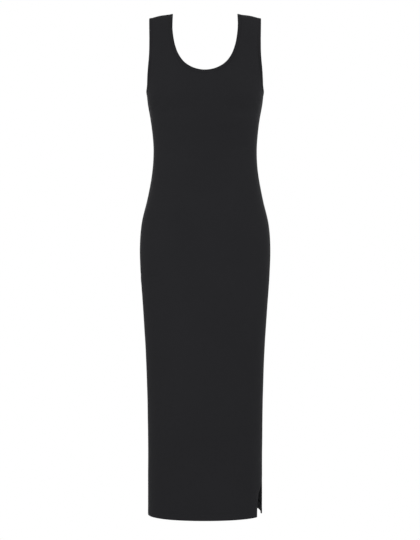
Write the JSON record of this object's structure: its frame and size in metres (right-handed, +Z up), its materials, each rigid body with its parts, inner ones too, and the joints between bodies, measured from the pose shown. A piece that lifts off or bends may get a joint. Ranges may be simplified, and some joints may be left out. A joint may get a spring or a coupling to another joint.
{
  "type": "racerback midi dress",
  "caption": "Close-fitting sleeveless midi dress in black jersey, with a scoop neck, a racer back, narrow folded bands and a short slit in a side seam, hollow as worn.",
  "frame": {"origin": "midway between the shoulders, at the height of the neck end of the shoulder seams, where the wearer carries the dress", "axes": "+Z up, the front of the dress faces -Y, +X is the wearer's left"},
  "size_m": [0.3264, 0.234, 1.2513],
  "materials": {
    "jersey": "matt black cotton jersey with a soft bloom at the edges",
    "band_jersey": "the same jersey folded double and edge stitched"
  },
  "bodies": {
    "root": {"front_panel": "jersey", "back_panel": "jersey", "neck_band": "band_jersey", "armhole_band_left": "band_jersey", "armhole_band_right": "band_jersey"}
  },
  "joints": []
}
